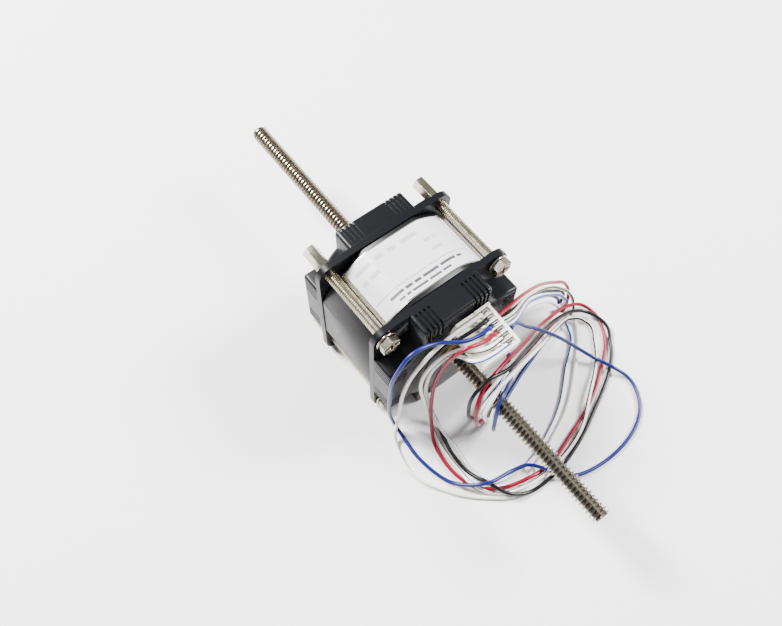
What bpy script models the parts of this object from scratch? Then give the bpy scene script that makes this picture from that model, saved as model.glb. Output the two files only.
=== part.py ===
"""Size-23 stepper motor with a lead screw that passes through its rotor.

The screw lies along Y. The six leads leave the front bell, toward -Y, and end in a six-way
connector. The origin is under the middle of the motor, on the surface its flanges rest on.
Lengths in this file are in millimetres until `mm` turns them into metres.
"""
import math

import bmesh
import bpy
from mathutils.geometry import interpolate_bezier
from mathutils import Matrix, Vector

OBJECT_NAME = "stepper_motor_with_lead_screw"

# ---- driving dimensions, millimetres ----
GAP = 0.3
FLANGE_SIDE = 56.4
AXIS_HEIGHT = FLANGE_SIDE / 2.0
BARREL_RADIUS = 29.8
BARREL_FLAT = 28.0
BARREL_HALF_LENGTH = 13.3
FLANGE_CORNER = 5.0
FLANGE_INNER_Y = 13.6
FLANGE_THICKNESS = 2.4
BELL_DEPTH = 11.0
BELL_CORE_RADIUS = 24.0
PAD_HALF_WIDTH = 14.1
BELL_EDGE_RADIUS = 2.0
BELL_CAVITY_RADIUS = 21.5
BELL_CAVITY_DEPTH = 8.0
RIB_DEPTH = 0.5
RIB_WIDTH = 0.7
RIB_OFFSETS = (7.0, 8.7, 10.4, 12.1)

BOLT_OFFSET = 23.57
BOLT_RADIUS = 2.08
BOLT_TAIL_RADIUS = 1.3
BOLT_TAIL_LENGTH = 6.0
WASHER_RADIUS = 3.9
WASHER_THICKNESS = 0.7
HEAD_ACROSS_FLATS = 6.35
HEAD_HEIGHT = 2.4
STANDOFF_ACROSS_FLATS = 4.8
STANDOFF_LENGTH = 9.8

SHELL_WALL = 1.5
STATOR_RADIUS = 26.2
STATOR_HALF_LENGTH = 11.3
STATOR_BORE = 14.3
POLE_COUNT = 8
POLE_HALF_WIDTH = 3.0

ROTOR_RADIUS = 13.9
ROTOR_TEETH = 50
SLEEVE_RADIUS = 5.7
SLEEVE_BORE = 4.7
SLEEVE_HALF_LENGTH = 22.4
NUT_HALF_LENGTH = 8.0

BEARING_INNER = 6.0
BEARING_OUTER = 10.5
BEARING_START_Y = 17.6
BEARING_WIDTH = 5.0
BALL_COUNT = 8

SCREW_RADIUS = 3.175
SCREW_HALF_LENGTH = 98.4
SCREW_CHAMFER = 0.8
SCREW_BORE_RADIUS = 3.5
KEYWAY_WIDTH = 1.6
KEYWAY_DEPTH = 1.1
KEYWAY_END_Y = 5.0

LABEL_START_DEG = 44.0
LABEL_END_DEG = 133.0
LABEL_HALF_LENGTH = 11.75
LABEL_THICKNESS = 0.2

WIRE_DIAMETER = 1.4
GROMMET_CENTRE = (9.0, 14.5)
CONNECTOR_CORNER = (-3.5, -25.6, 22.8)
CONNECTOR_TILT_DEG = 6.5
CONNECTOR_WIDTH = 15.3
CONNECTOR_HEIGHT = 5.8
CIRCUIT_PITCH = 2.54
CIRCUIT_COUNT = 6
CIRCUIT_START = 1.85
CHANNEL_WIDTH = 2.0
CHANNEL_FLOOR = -2.6
WIRE_IN_SLOT = -1.2
SLOT_ENTRY = 5.5
WIRE_END = 11.3


def mm(value):
    """Millimetres to metres."""
    return value * 0.001


def clear_scene():
    for old in list(bpy.data.objects):
        bpy.data.objects.remove(old, do_unlink=True)


def new_collection(name):
    made = bpy.data.collections.new(name)
    bpy.context.scene.collection.children.link(made)
    return made


clear_scene()
PARTS = new_collection(OBJECT_NAME)
CUTTERS = new_collection("cutters")


def new_axis():
    """An empty whose local Z runs along the screw, toward the rear (+Y)."""
    empty = bpy.data.objects.new("screw_axis", None)
    PARTS.objects.link(empty)
    empty.location = (0.0, 0.0, mm(AXIS_HEIGHT))
    empty.rotation_euler = (math.radians(-90.0), 0.0, 0.0)
    return empty


AXIS = new_axis()


def material(name, colour, roughness, metallic):
    made = bpy.data.materials.new(name)
    made.use_nodes = True
    shader = made.node_tree.nodes["Principled BSDF"]
    shader.inputs["Base Color"].default_value = (*colour, 1.0)
    shader.inputs["Roughness"].default_value = roughness
    shader.inputs["Metallic"].default_value = metallic
    return made


BLACK_CASTING = ("black_casting", (0.018, 0.02, 0.022), 0.45, 0.0)
BARREL_PAINT = ("barrel_paint", (0.05, 0.05, 0.052), 0.35, 0.0)
ZINC = ("zinc_plate", (0.72, 0.69, 0.6), 0.3, 1.0)
STEEL = ("screw_steel", (0.5, 0.48, 0.43), 0.35, 1.0)
SILICON_STEEL = ("silicon_steel", (0.35, 0.35, 0.36), 0.5, 1.0)
MAGNET = ("magnet", (0.12, 0.12, 0.13), 0.5, 0.6)
BRONZE = ("bronze", (0.6, 0.38, 0.17), 0.35, 1.0)
COPPER = ("copper", (0.72, 0.33, 0.18), 0.35, 1.0)
NYLON = ("natural_nylon", (0.8, 0.78, 0.7), 0.4, 0.0)
RUBBER = ("black_rubber", (0.02, 0.02, 0.02), 0.7, 0.0)
LABEL_WHITE = ("label_white", (0.85, 0.86, 0.84), 0.35, 0.0)


def finish_part(obj, finish):
    """Give a part its own copy of a finish and smooth shading with sharp edges kept."""
    name, colour, roughness, metallic = finish
    obj.data.materials.clear()
    obj.data.materials.append(material(obj.name + "_" + name, colour, roughness, metallic))
    obj.data.shade_smooth()
    obj.data.set_sharp_from_angle(angle=math.radians(35.0))
    return obj


def add_part(name, mesh, finish, parent=AXIS):
    obj = bpy.data.objects.new(name, mesh)
    PARTS.objects.link(obj)
    obj.parent = parent
    return finish_part(obj, finish)


def add_cutter(name, mesh, parent=AXIS):
    obj = bpy.data.objects.new(name, mesh)
    CUTTERS.objects.link(obj)
    obj.parent = parent
    obj.hide_render = True
    obj.display_type = "WIRE"
    return obj


def boolean(obj, cutter, operation="DIFFERENCE"):
    step = obj.modifiers.new(operation.lower() + "_" + cutter.name, "BOOLEAN")
    step.operation = operation
    step.object = cutter
    return step


def bevel(obj, width, segments=2, angle=40.0):
    step = obj.modifiers.new("rounded_edges", "BEVEL")
    step.width = mm(width)
    step.segments = segments
    step.limit_method = "ANGLE"
    step.angle_limit = math.radians(angle)
    return step


def bmesh_to_mesh(bm, name):
    mesh = bpy.data.meshes.new(name)
    bm.to_mesh(mesh)
    bm.free()
    return mesh


def cylinder_mesh(name, radius, start, end, segments=32, centre=(0.0, 0.0)):
    """A closed cylinder along the axis, from start to end, centred at (x, y) across it."""
    bm = bmesh.new()
    place = Matrix.Translation((mm(centre[0]), mm(centre[1]), mm((start + end) / 2.0)))
    bmesh.ops.create_cone(bm, cap_ends=True, segments=segments, radius1=mm(radius),
                          radius2=mm(radius), depth=mm(end - start), matrix=place)
    return bmesh_to_mesh(bm, name)


def box_into(bm, low, high):
    size = [mm(b - a) for a, b in zip(low, high)]
    centre = [mm((a + b) / 2.0) for a, b in zip(low, high)]
    place = Matrix.Translation(centre) @ Matrix.Diagonal((*size, 1.0))
    bmesh.ops.create_cube(bm, size=1.0, matrix=place)


def box_mesh(name, low, high):
    bm = bmesh.new()
    box_into(bm, low, high)
    return bmesh_to_mesh(bm, name)


def turned_part(name, profile, finish, segments=32, parent=AXIS):
    """A ring or solid turned about the axis from closed (radius, along) points.

    The points start at the top of the outer side and run down it, then back inside.
    """
    bm = bmesh.new()
    verts = [bm.verts.new((mm(r), 0.0, mm(z))) for r, z in profile]
    for a, b in zip(verts, verts[1:] + verts[:1]):
        bm.edges.new((a, b))
    obj = bpy.data.objects.new(name, bmesh_to_mesh(bm, name))
    PARTS.objects.link(obj)
    obj.parent = parent
    screw = obj.modifiers.new("turned", "SCREW")
    screw.steps = segments
    screw.render_steps = segments
    screw.use_merge_vertices = True
    screw.merge_threshold = 0.00001
    return finish_part(obj, finish)


def ring_part(name, outer, inner, start, end, finish, segments=32):
    profile = [(outer, end), (outer, start), (inner, start), (inner, end)]
    return turned_part(name, profile, finish, segments)


def arc(centre, radius, start_deg, end_deg, steps):
    """Points of an arc, both ends included."""
    points = []
    for i in range(steps + 1):
        angle = math.radians(start_deg + (end_deg - start_deg) * i / steps)
        x = centre[0] + radius * math.cos(angle)
        y = centre[1] + radius * math.sin(angle)
        points.append((x, y))
    return points


def plate_mesh(name, outlines, start, end):
    """A flat plate across the axis: closed outlines, the first outside, the rest holes."""
    curve = bpy.data.curves.new(name, "CURVE")
    curve.dimensions = "2D"
    curve.fill_mode = "BOTH"
    curve.extrude = mm((end - start) / 2.0)
    for outline in outlines:
        spline = curve.splines.new("POLY")
        spline.points.add(len(outline) - 1)
        for point, (x, y) in zip(spline.points, outline):
            point.co = (mm(x), mm(y), 0.0, 1.0)
        spline.use_cyclic_u = True
    holder = bpy.data.objects.new(name + "_outline", curve)
    PARTS.objects.link(holder)
    graph = bpy.context.evaluated_depsgraph_get()
    mesh = bpy.data.meshes.new_from_object(holder.evaluated_get(graph))
    bpy.data.objects.remove(holder, do_unlink=True)
    bpy.data.curves.remove(curve)
    bm = bmesh.new()
    bm.from_mesh(mesh)
    bmesh.ops.remove_doubles(bm, verts=bm.verts, dist=0.000005)
    bmesh.ops.translate(bm, verts=bm.verts, vec=(0.0, 0.0, mm((start + end) / 2.0)))
    bmesh.ops.recalc_face_normals(bm, faces=bm.faces)
    bpy.data.meshes.remove(mesh)
    return bmesh_to_mesh(bm, name)


def rounded_square(side, corner, steps=6):
    inset = side / 2.0 - corner
    points = []
    for quarter in range(4):
        sx = 1.0 if quarter in (0, 3) else -1.0
        sy = 1.0 if quarter in (0, 1) else -1.0
        points += arc((sx * inset, sy * inset), corner, 90.0 * quarter,
                      90.0 * (quarter + 1), steps)
    return points


def circle(radius, steps=48, centre=(0.0, 0.0)):
    return arc(centre, radius, 0.0, 360.0, steps)[:-1]


def hexagon(across_flats, centre=(0.0, 0.0), turn_deg=0.0):
    corner = across_flats / math.sqrt(3.0)
    return arc(centre, corner, turn_deg, turn_deg + 360.0, 6)[:-1]


BOLT_PLACES = [(sx * BOLT_OFFSET, sy * BOLT_OFFSET) for sy in (-1, 1) for sx in (-1, 1)]


# ---- end bells ----

def rib_slot_mesh(name):
    """Shallow slots that leave ribs on the four pads, parallel to the screw."""
    bm = bmesh.new()
    top = FLANGE_SIDE / 2.0
    low = top - RIB_DEPTH
    for offset in RIB_OFFSETS:
        for side in (-1, 1):
            a = side * offset - RIB_WIDTH / 2.0
            b = side * offset + RIB_WIDTH / 2.0
            start = FLANGE_INNER_Y + FLANGE_THICKNESS + 0.6
            end = FLANGE_INNER_Y + BELL_DEPTH + 1.0
            box_into(bm, (a, low, start), (b, top + 1.0, end))
            box_into(bm, (a, -top - 1.0, start), (b, -low, end))
            box_into(bm, (low, a, start), (top + 1.0, b, end))
            box_into(bm, (-top - 1.0, a, start), (-low, b, end))
    return bmesh_to_mesh(bm, name)


def round_end_edges(bm, end, radius):
    """Round the edges that lie in the plane at `end`."""
    top = [e for e in bm.edges if all(abs(v.co.z - mm(end)) < 0.000001 for v in e.verts)]
    bmesh.ops.bevel(bm, geom=top, offset=mm(radius), segments=3, profile=0.5,
                    affect="EDGES", clamp_overlap=True)


def pad_bar_mesh(name, half_x, half_y, start, end):
    """A bar across the bell whose two ends are the faces of opposite pads."""
    bm = bmesh.new()
    box_into(bm, (-half_x, -half_y, start), (half_x, half_y, end))
    round_end_edges(bm, end, BELL_EDGE_RADIUS)
    return bmesh_to_mesh(bm, name)


def cup_core_mesh(name, start, end):
    bm = bmesh.new()
    place = Matrix.Translation((0.0, 0.0, mm((start + end) / 2.0)))
    bmesh.ops.create_cone(bm, cap_ends=True, segments=48, radius1=mm(BELL_CORE_RADIUS),
                          radius2=mm(BELL_CORE_RADIUS), depth=mm(end - start), matrix=place)
    round_end_edges(bm, end, BELL_EDGE_RADIUS)
    return bmesh_to_mesh(bm, name)


def make_bell(name, holder):
    """One end bell: flange, ribbed cup, bearing pocket and bolt holes."""
    inner = FLANGE_INNER_Y
    end = inner + BELL_DEPTH
    flange = rounded_square(FLANGE_SIDE, FLANGE_CORNER)
    bolt_holes = [circle(BOLT_RADIUS + GAP, 16, place) for place in BOLT_PLACES]
    bell = add_part(name, plate_mesh(name, [flange] + bolt_holes, inner,
                                     inner + FLANGE_THICKNESS), BLACK_CASTING, holder)
    pad_out = FLANGE_SIDE / 2.0 - 0.05
    low = inner + 0.4
    bar_x = add_cutter(name + "_bar_x", pad_bar_mesh(
        name + "_bar_x", pad_out, PAD_HALF_WIDTH, low, end), holder)
    bar_y = add_cutter(name + "_bar_y", pad_bar_mesh(
        name + "_bar_y", PAD_HALF_WIDTH, pad_out, low, end), holder)
    core = add_cutter(name + "_core", cup_core_mesh(name + "_core", low, end), holder)
    cavity = add_cutter(name + "_cavity", cylinder_mesh(
        name + "_cavity", BELL_CAVITY_RADIUS, inner - 1.0, inner + BELL_CAVITY_DEPTH, 40), holder)
    boss = add_cutter(name + "_boss", cylinder_mesh(
        name + "_boss", BEARING_OUTER + 2.5, BEARING_START_Y - 0.3, end - 0.5, 32), holder)
    pocket = add_cutter(name + "_pocket", cylinder_mesh(
        name + "_pocket", BEARING_OUTER + GAP, inner - 1.0,
        BEARING_START_Y + BEARING_WIDTH + GAP, 32), holder)
    bore = add_cutter(name + "_bore", cylinder_mesh(
        name + "_bore", SLEEVE_RADIUS + 0.1, inner - 1.0, end + 1.0, 24), holder)
    slots = add_cutter(name + "_rib_slots", rib_slot_mesh(name + "_rib_slots"), holder)
    boolean(bell, bar_x, "UNION")
    boolean(bell, bar_y, "UNION")
    boolean(bell, core, "UNION")
    boolean(bell, slots)
    boolean(bell, cavity)
    boolean(bell, boss, "UNION")
    boolean(bell, pocket)
    boolean(bell, bore)
    return bell


def front_holder():
    """The front bell is the rear bell turned end for end about the vertical."""
    empty = bpy.data.objects.new("front_end", None)
    PARTS.objects.link(empty)
    empty.parent = AXIS
    empty.rotation_euler = (0.0, math.radians(180.0), 0.0)
    return empty


FRONT = front_holder()


def grommet_outline(grow=0.0):
    """The oblong of the lead exit, seen along the axis from the front."""
    x, up = GROMMET_CENTRE
    half = 2.2
    radius = 2.2 + grow
    right = arc((x + half, -up), radius, -90.0, 90.0, 6)
    left = arc((x - half, -up), radius, 90.0, 270.0, 6)
    return right + left


def make_bells():
    rear = make_bell("rear_bell", AXIS)
    front = make_bell("front_bell", FRONT)
    hole = add_cutter("lead_hole", plate_mesh("lead_hole", [grommet_outline(GAP)], -26.0, -18.0))
    boolean(front, hole)
    return rear, front


# ---- barrel, label, fasteners ----

def flatted_circle(radius, flat, steps=8):
    """A circle with a flat on each of its four sides."""
    edge = math.degrees(math.acos(flat / radius))
    points = []
    for quarter in range(4):
        points += arc((0.0, 0.0), radius, 90.0 * quarter + edge,
                      90.0 * (quarter + 1) - edge, steps)
    return points


def make_shell():
    outer = flatted_circle(BARREL_RADIUS, BARREL_FLAT)
    inner = flatted_circle(BARREL_RADIUS - SHELL_WALL, BARREL_FLAT - SHELL_WALL)
    mesh = plate_mesh("motor_shell", [outer, inner], -BARREL_HALF_LENGTH, BARREL_HALF_LENGTH)
    add_part("motor_shell", mesh, BARREL_PAINT)


def label_line(lift):
    """The label's path over the top of the barrel, from +X to -X. Local -Y is up."""
    radius = BARREL_RADIUS + lift
    flat = BARREL_FLAT + lift
    edge = math.degrees(math.asin(flat / radius))
    right = arc((0.0, 0.0), radius, -LABEL_START_DEG, -edge, 8)
    left = arc((0.0, 0.0), radius, edge - 180.0, -LABEL_END_DEG, 8)
    return right + left


def make_label():
    outline = label_line(GAP + LABEL_THICKNESS) + label_line(GAP)[::-1]
    mesh = plate_mesh("rating_label", [outline], -LABEL_HALF_LENGTH, LABEL_HALF_LENGTH)
    add_part("rating_label", mesh, LABEL_WHITE)


def make_bolts():
    face = FLANGE_INNER_Y + FLANGE_THICKNESS
    tail_start = face + 0.1
    for number, (x, y) in enumerate(BOLT_PLACES, start=1):
        washer_top = -(face + GAP)
        washer_low = washer_top - WASHER_THICKNESS
        head_start = washer_low - GAP
        head_end = head_start - HEAD_HEIGHT
        washer = plate_mesh("bolt_washer_%d" % number,
                            [circle(WASHER_RADIUS, 20, (x, y)),
                             circle(BOLT_RADIUS + GAP, 16, (x, y))], washer_low, washer_top)
        add_part("bolt_washer_%d" % number, washer, ZINC)
        head = plate_mesh("through_bolt_%d" % number,
                          [hexagon(HEAD_ACROSS_FLATS, (x, y), 30.0)], head_end, head_start)
        bolt = add_part("through_bolt_%d" % number, head, ZINC)
        shank = add_cutter("shank_%d" % number, cylinder_mesh(
            "shank", BOLT_RADIUS, head_start - 0.5, tail_start, 16, (x, y)))
        tail = add_cutter("tail_%d" % number, cylinder_mesh(
            "tail", BOLT_TAIL_RADIUS, tail_start - 0.5, tail_start + BOLT_TAIL_LENGTH, 12, (x, y)))
        boolean(bolt, shank, "UNION")
        boolean(bolt, tail, "UNION")
        slot = box_mesh("slot", (x - 4.0, y - 0.4, head_end - 1.0),
                        (x + 4.0, y + 0.4, head_end + 1.0))
        cross = box_mesh("cross", (x - 0.45, y - 1.8, head_end - 1.0),
                         (x + 0.45, y + 1.8, head_end + 1.3))
        boolean(bolt, add_cutter("slot_%d" % number, slot))
        boolean(bolt, add_cutter("cross_%d" % number, cross))
        standoff = plate_mesh("rear_standoff_%d" % number,
                              [hexagon(STANDOFF_ACROSS_FLATS, (x, y), 0.0)],
                              face + GAP, face + GAP + STANDOFF_LENGTH)
        nut = add_part("rear_standoff_%d" % number, standoff, ZINC)
        hole = add_cutter("standoff_hole_%d" % number, cylinder_mesh(
            "hole", BOLT_TAIL_RADIUS + GAP, face - 1.0, tail_start + BOLT_TAIL_LENGTH + 0.6,
            12, (x, y)))
        boolean(nut, hole)


# ---- stator ----

def stator_hole(bore, neck_half, shoe_half_deg, shoe_depth, slot_radius):
    """The inside outline of a stack: pole shoes at the bore, slots behind them."""
    points = []
    pitch = 360.0 / POLE_COUNT
    for pole in range(POLE_COUNT):
        middle = pitch * pole
        points += arc((0.0, 0.0), bore, middle - shoe_half_deg, middle + shoe_half_deg, 3)
        turn = math.radians(middle)
        cos_t = math.cos(turn)
        sin_t = math.sin(turn)
        shoe = bore + shoe_depth
        shoe_rad = math.radians(shoe_half_deg)
        flank = [(shoe * math.cos(shoe_rad), shoe * math.sin(shoe_rad)),
                 (math.sqrt(shoe ** 2 - neck_half ** 2) + 0.6, neck_half),
                 (math.sqrt(slot_radius ** 2 - neck_half ** 2), neck_half)]
        for x, y in flank:
            points.append((x * cos_t - y * sin_t, x * sin_t + y * cos_t))
        neck_deg = math.degrees(math.asin(neck_half / slot_radius))
        points += arc((0.0, 0.0), slot_radius, middle + neck_deg + 4.0,
                      middle + pitch - neck_deg - 4.0, 2)
        turn = math.radians(middle + pitch)
        cos_t = math.cos(turn)
        sin_t = math.sin(turn)
        for x, y in reversed(flank):
            points.append((x * cos_t + y * sin_t, x * sin_t - y * cos_t))
    return points


def make_stator():
    hole = stator_hole(STATOR_BORE, POLE_HALF_WIDTH, 16.0, 1.2, 23.0)
    core = plate_mesh("stator_core", [circle(STATOR_RADIUS, 64), hole],
                      -STATOR_HALF_LENGTH, STATOR_HALF_LENGTH)
    add_part("stator_core", core, SILICON_STEEL)
    frame_hole = stator_hole(STATOR_BORE + 0.3, POLE_HALF_WIDTH + 0.3, 14.0, 1.2, 22.6)
    near = STATOR_HALF_LENGTH + GAP
    far = near + 0.7
    for name, start, end in (("front_insulator", -far, -near), ("rear_insulator", near, far)):
        frame = plate_mesh(name, [circle(25.4, 40), frame_hole], start, end)
        add_part(name, frame, NYLON)


def make_coils():
    inner_half = POLE_HALF_WIDTH + 0.6
    outer_half = inner_half + 2.2
    inner_long = STATOR_HALF_LENGTH + 1.3
    outer_long = inner_long + 2.2
    near = 16.4
    far = 20.3
    for number in range(1, POLE_COUNT + 1):
        turn = Matrix.Rotation(math.radians(45.0 * (number - 1)), 4, "Z")
        name = "stator_coil_%d" % number
        mesh = box_mesh(name, (near, -outer_half, -outer_long), (far, outer_half, outer_long))
        coil = add_part(name, mesh, COPPER)
        coil.matrix_local = turn
        opening = add_cutter(name + "_opening", box_mesh(
            name + "_opening", (near - 1.0, -inner_half, -inner_long),
            (far + 1.0, inner_half, inner_long)))
        opening.matrix_local = turn
        bevel(coil, 0.7, 1, 60.0)
        boolean(coil, opening)


# ---- rotor ----

def toothed_circle(tip, root, count):
    """A fine-toothed outline, one tip and one root point for each tooth."""
    points = []
    for tooth in range(count):
        for share, radius in ((0.0, tip), (0.5, root)):
            angle = 2.0 * math.pi * (tooth + share) / count
            points.append((radius * math.cos(angle), radius * math.sin(angle)))
    return points


def make_rotor():
    teeth = toothed_circle(ROTOR_RADIUS, ROTOR_RADIUS - 0.9, ROTOR_TEETH)
    bore = circle(SLEEVE_RADIUS + GAP, 24)
    for name, start, end in (("rotor_core_front", -12.0, -1.8), ("rotor_core_rear", 1.8, 12.0)):
        add_part(name, plate_mesh(name, [teeth, bore], start, end), SILICON_STEEL)
    ring_part("rotor_magnet", 12.5, SLEEVE_RADIUS + GAP, -1.5, 1.5, MAGNET)
    ring_part("rotor_sleeve", SLEEVE_RADIUS, SLEEVE_BORE, -SLEEVE_HALF_LENGTH,
              SLEEVE_HALF_LENGTH, STEEL, 24)
    ring_part("drive_nut", SLEEVE_BORE - GAP, SCREW_BORE_RADIUS, -NUT_HALF_LENGTH,
              NUT_HALF_LENGTH, BRONZE, 24)


def make_ball_ring(name, start):
    """The balls and their cage as one ring: eight balls joined by a thin band."""
    middle = start + BEARING_WIDTH / 2.0
    track = (BEARING_INNER + BEARING_OUTER) / 2.0
    ring = ring_part(name, track + 0.35, track - 0.35, middle - 0.5, middle + 0.5, STEEL, 24)
    bm = bmesh.new()
    for ball in range(BALL_COUNT):
        angle = 2.0 * math.pi * ball / BALL_COUNT
        place = Matrix.Translation((mm(track * math.cos(angle)), mm(track * math.sin(angle)),
                                    mm(middle)))
        bmesh.ops.create_icosphere(bm, subdivisions=1, radius=mm(0.85), matrix=place)
    boolean(ring, add_cutter(name + "_balls", bmesh_to_mesh(bm, name + "_balls")), "UNION")


def make_bearings():
    width = BEARING_WIDTH
    for end_name, start in (("front", -BEARING_START_Y - width), ("rear", BEARING_START_Y)):
        stop = start + width
        ring_part(end_name + "_bearing_inner", 7.1, BEARING_INNER, start, stop, STEEL, 24)
        ring_part(end_name + "_bearing_outer", BEARING_OUTER, 9.4, start, stop, STEEL, 32)
        make_ball_ring(end_name + "_bearing_balls", start)


def make_wave_washer():
    """A thin spring ring, waved three times round, inside the rear outer race's face."""
    bm = bmesh.new()
    steps = 36
    rings = []
    for r, lift in ((10.2, 0.12), (10.2, -0.12), (9.2, -0.12), (9.2, 0.12)):
        row = []
        for i in range(steps):
            angle = 2.0 * math.pi * i / steps
            wave = 0.25 * math.cos(3.0 * angle)
            z = BEARING_START_Y - 0.75 + lift + wave
            row.append(bm.verts.new((mm(r * math.cos(angle)), mm(r * math.sin(angle)), mm(z))))
        rings.append(row)
    for row, following in zip(rings, rings[1:] + rings[:1]):
        for i in range(steps):
            j = (i + 1) % steps
            bm.faces.new((row[i], following[i], following[j], row[j]))
    bmesh.ops.recalc_face_normals(bm, faces=bm.faces)
    add_part("wave_washer", bmesh_to_mesh(bm, "wave_washer"), STEEL)


# ---- screw, bush, seal ----

def make_lead_screw():
    end = SCREW_HALF_LENGTH
    r = SCREW_RADIUS
    profile = [(0.0, end), (r - SCREW_CHAMFER, end), (r, end - SCREW_CHAMFER),
               (r, -end + SCREW_CHAMFER), (r - SCREW_CHAMFER, -end), (0.0, -end)]
    bm = bmesh.new()
    verts = [bm.verts.new((mm(x), 0.0, mm(z))) for x, z in profile]
    for a, b in zip(verts, verts[1:]):
        bm.edges.new((a, b))
    obj = bpy.data.objects.new("lead_screw", bmesh_to_mesh(bm, "lead_screw"))
    PARTS.objects.link(obj)
    obj.parent = AXIS
    turned = obj.modifiers.new("turned", "SCREW")
    turned.steps = 32
    turned.render_steps = 32
    turned.use_merge_vertices = True
    turned.merge_threshold = 0.00001
    finish_part(obj, STEEL)
    floor = SCREW_RADIUS - KEYWAY_DEPTH
    groove = add_cutter("keyway", box_mesh(
        "keyway", (-KEYWAY_WIDTH / 2.0, -SCREW_RADIUS - 1.0, -end - 1.0),
        (KEYWAY_WIDTH / 2.0, -floor, KEYWAY_END_Y)))
    boolean(obj, groove)


def make_bush_and_seal():
    """The front bush carries the key that keeps the screw from turning."""
    end = FLANGE_INNER_Y + BELL_DEPTH
    bush = ring_part("guide_bush", 5.5, SCREW_BORE_RADIUS, -end - 0.8, -end + 1.4, BRONZE, 24)
    key = add_cutter("key", box_mesh(
        "key", (-0.5, -4.2, -end - 0.8), (0.5, -SCREW_RADIUS + 0.75, -end + 1.4)))
    boolean(bush, key, "UNION")
    ring_part("screw_seal", 5.5, SCREW_BORE_RADIUS, end - 1.4, end + 0.6, RUBBER, 24)


# ---- lead exit and connector ----

def make_grommet():
    end = FLANGE_INNER_Y + BELL_DEPTH
    mesh = plate_mesh("lead_grommet", [grommet_outline(0.0)], -end - 0.9, -end + 2.6)
    add_part("lead_grommet", mesh, RUBBER)


def new_connector_frame():
    """Local X runs from the wires to the mating face, local -Y along the row, local Z up."""
    empty = bpy.data.objects.new("connector_frame", None)
    PARTS.objects.link(empty)
    x, y, z = CONNECTOR_CORNER
    empty.location = (mm(x), mm(y), mm(z + AXIS_HEIGHT))
    empty.rotation_euler = (math.radians(CONNECTOR_TILT_DEG), 0.0, 0.0)
    return empty


def circuit_y(number):
    """Where one circuit lies along the row."""
    return -(CIRCUIT_START + CIRCUIT_PITCH * number)


def wall_mesh(name, height):
    """The tall end wall nearest the motor, with a notched upper edge."""
    wide = CONNECTOR_WIDTH
    outline = [(0.0, -CONNECTOR_HEIGHT), (wide, -CONNECTOR_HEIGHT), (wide, height - 0.5),
               (wide - 0.6, height), (9.0, height), (8.4, height - 0.45),
               (5.4, height - 0.45), (4.8, height - 0.1), (1.0, height - 0.1),
               (0.0, height - 1.0)]
    bm = bmesh.new()
    back = [bm.verts.new((mm(x), 0.0, mm(z))) for x, z in outline]
    front = [bm.verts.new((mm(x), mm(-0.85), mm(z))) for x, z in outline]
    bm.faces.new(back)
    bm.faces.new(front)
    for i in range(len(outline)):
        j = (i + 1) % len(outline)
        bm.faces.new((back[i], back[j], front[j], front[i]))
    bmesh.ops.recalc_face_normals(bm, faces=bm.faces)
    return bmesh_to_mesh(bm, name)


def row_of_boxes(name, numbers, low, high, shift=0.0):
    """One box for each circuit number; low and high are measured from the circuit's middle."""
    bm = bmesh.new()
    for number in numbers:
        y = circuit_y(number) + shift
        box_into(bm, (low[0], y + low[1], low[2]), (high[0], y + high[1], high[2]))
    return bmesh_to_mesh(bm, name)


def make_connector(frame):
    length = 2.0 * CIRCUIT_START + CIRCUIT_PITCH * (CIRCUIT_COUNT - 1)
    wide = CONNECTOR_WIDTH
    floor = CHANNEL_FLOOR
    base = box_mesh("connector_housing", (0.0, -length, -CONNECTOR_HEIGHT), (wide, -0.3, floor))
    housing = add_part("connector_housing", base, NYLON, frame)
    block = box_mesh("block", (10.2, -length, floor - 0.5), (wide - 0.01, -0.2, 0.0))
    boolean(housing, add_cutter("connector_block", block, frame), "UNION")
    boolean(housing, add_cutter("connector_wall", wall_mesh("wall", 0.9), frame), "UNION")
    far_wall = box_mesh("far_wall", (0.0, -length, floor - 0.5), (wide - 0.02, -length + 0.85, 0.0))
    boolean(housing, add_cutter("connector_far_wall", far_wall, frame), "UNION")
    half = (CIRCUIT_PITCH - CHANNEL_WIDTH) / 2.0
    between = range(CIRCUIT_COUNT - 1)
    ribs = row_of_boxes("ribs", between, (7.0, -half, floor - 0.3), (10.6, half, -1.4),
                        -CIRCUIT_PITCH / 2.0)
    boolean(housing, add_cutter("connector_ribs", ribs, frame), "UNION")
    knobs = row_of_boxes("knobs", between, (7.9, -half, floor - 0.2), (9.3, half, -0.1),
                         -CIRCUIT_PITCH / 2.0)
    boolean(housing, add_cutter("connector_knobs", knobs, frame), "UNION")
    everyone = range(CIRCUIT_COUNT)
    slots = row_of_boxes("slots", everyone, (10.0, -CHANNEL_WIDTH / 2.0, floor),
                         (14.2, CHANNEL_WIDTH / 2.0, 1.5))
    boolean(housing, add_cutter("connector_slots", slots, frame))
    mouths = row_of_boxes("mouths", everyone, (wide - 1.2, -0.5, -4.4), (wide + 1.0, 0.5, -3.4))
    boolean(housing, add_cutter("connector_mouths", mouths, frame))
    for number in everyone:
        make_terminal(number, frame)


def make_terminal(number, frame):
    """A forked contact that stands in its slot just beyond the end of its wire."""
    y = circuit_y(number)
    name = "terminal_%d" % (number + 1)
    body = box_mesh(name, (11.6, y - 0.7, CHANNEL_FLOOR + 0.3), (13.9, y + 0.7, -0.3))
    terminal = add_part(name, body, ZINC, frame)
    slit = box_mesh(name + "_slit", (11.0, y - 0.25, CHANNEL_FLOOR + 0.8),
                    (13.2, y + 0.25, 0.5))
    boolean(terminal, add_cutter(name + "_slit", slit, frame))


# ---- leads ----

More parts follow.
